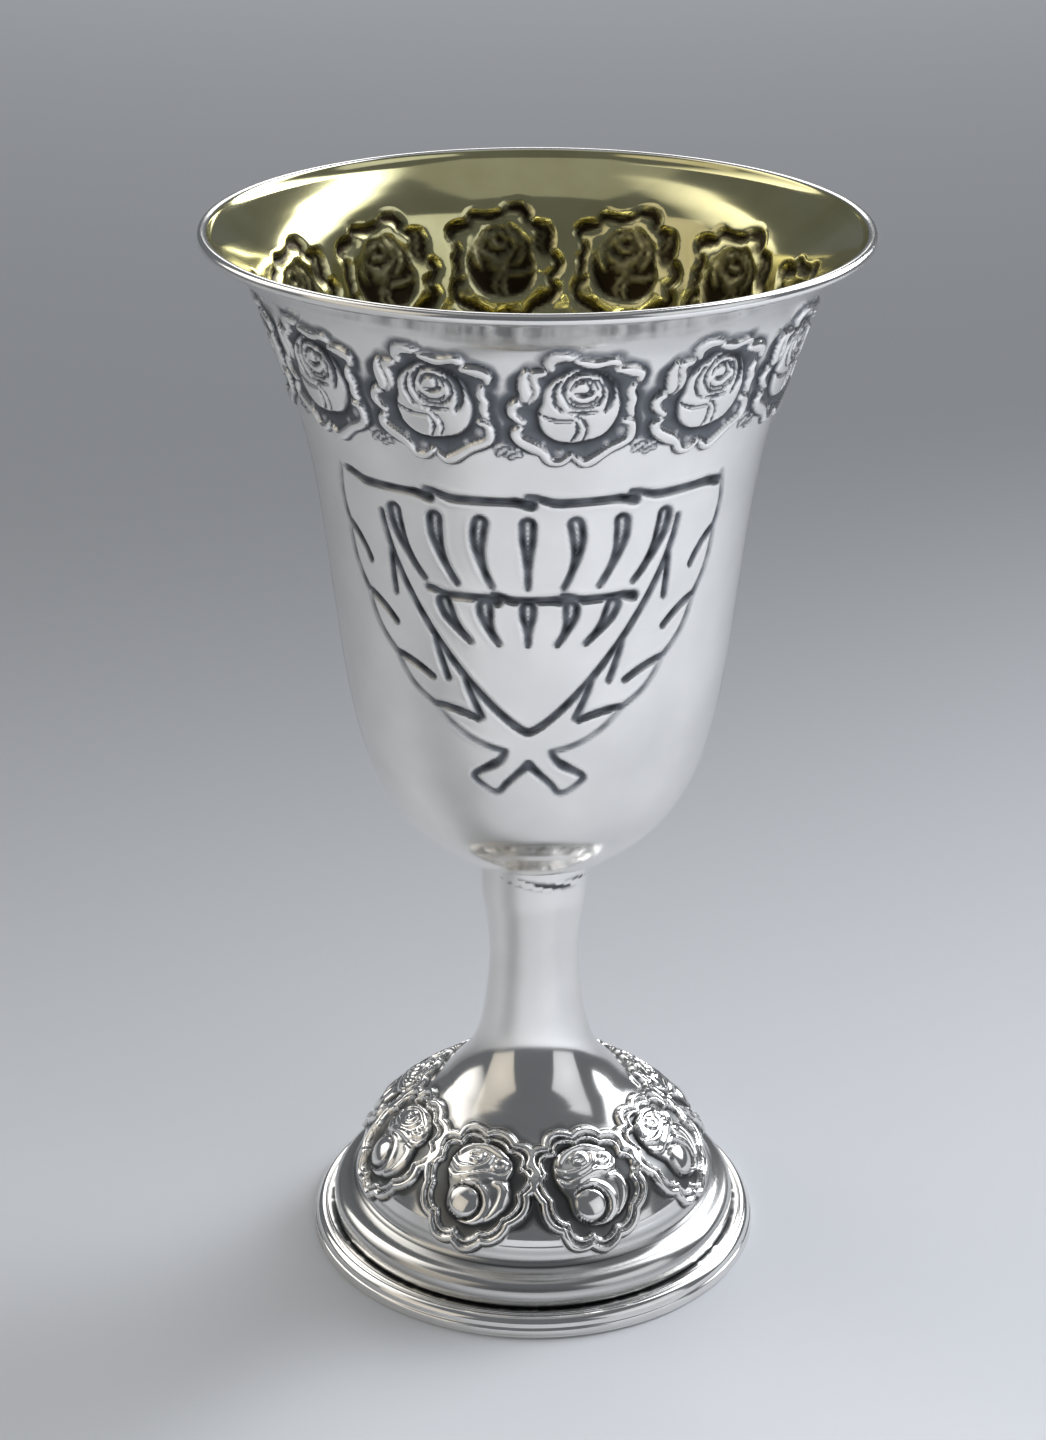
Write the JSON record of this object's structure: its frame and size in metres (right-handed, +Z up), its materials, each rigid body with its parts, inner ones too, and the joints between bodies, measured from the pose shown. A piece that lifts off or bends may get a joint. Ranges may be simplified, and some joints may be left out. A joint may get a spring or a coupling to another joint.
{
  "type": "kiddush cup",
  "caption": "Stemmed silver ceremonial cup: flared hollow bowl with repousse roses and a chased panel, gilt inside, on a hollow stem and domed foot with a moulded base ring.",
  "frame": {"origin": "centre of the base ring's underside, on the surface the cup stands on", "axes": "+Z up along the cup's axis, -Y towards the chased panel on the front of the bowl"},
  "size_m": [0.076, 0.076, 0.13],
  "materials": {
    "chased_silver": "polished silver, oxidised dark in the recesses of the relief; the inside of the bowl is gilt",
    "polished_silver": "bright polished silver wire"
  },
  "bodies": {
    "root": {"bowl": "chased_silver", "stem_and_foot": "chased_silver", "base_ring": "polished_silver"}
  },
  "joints": []
}
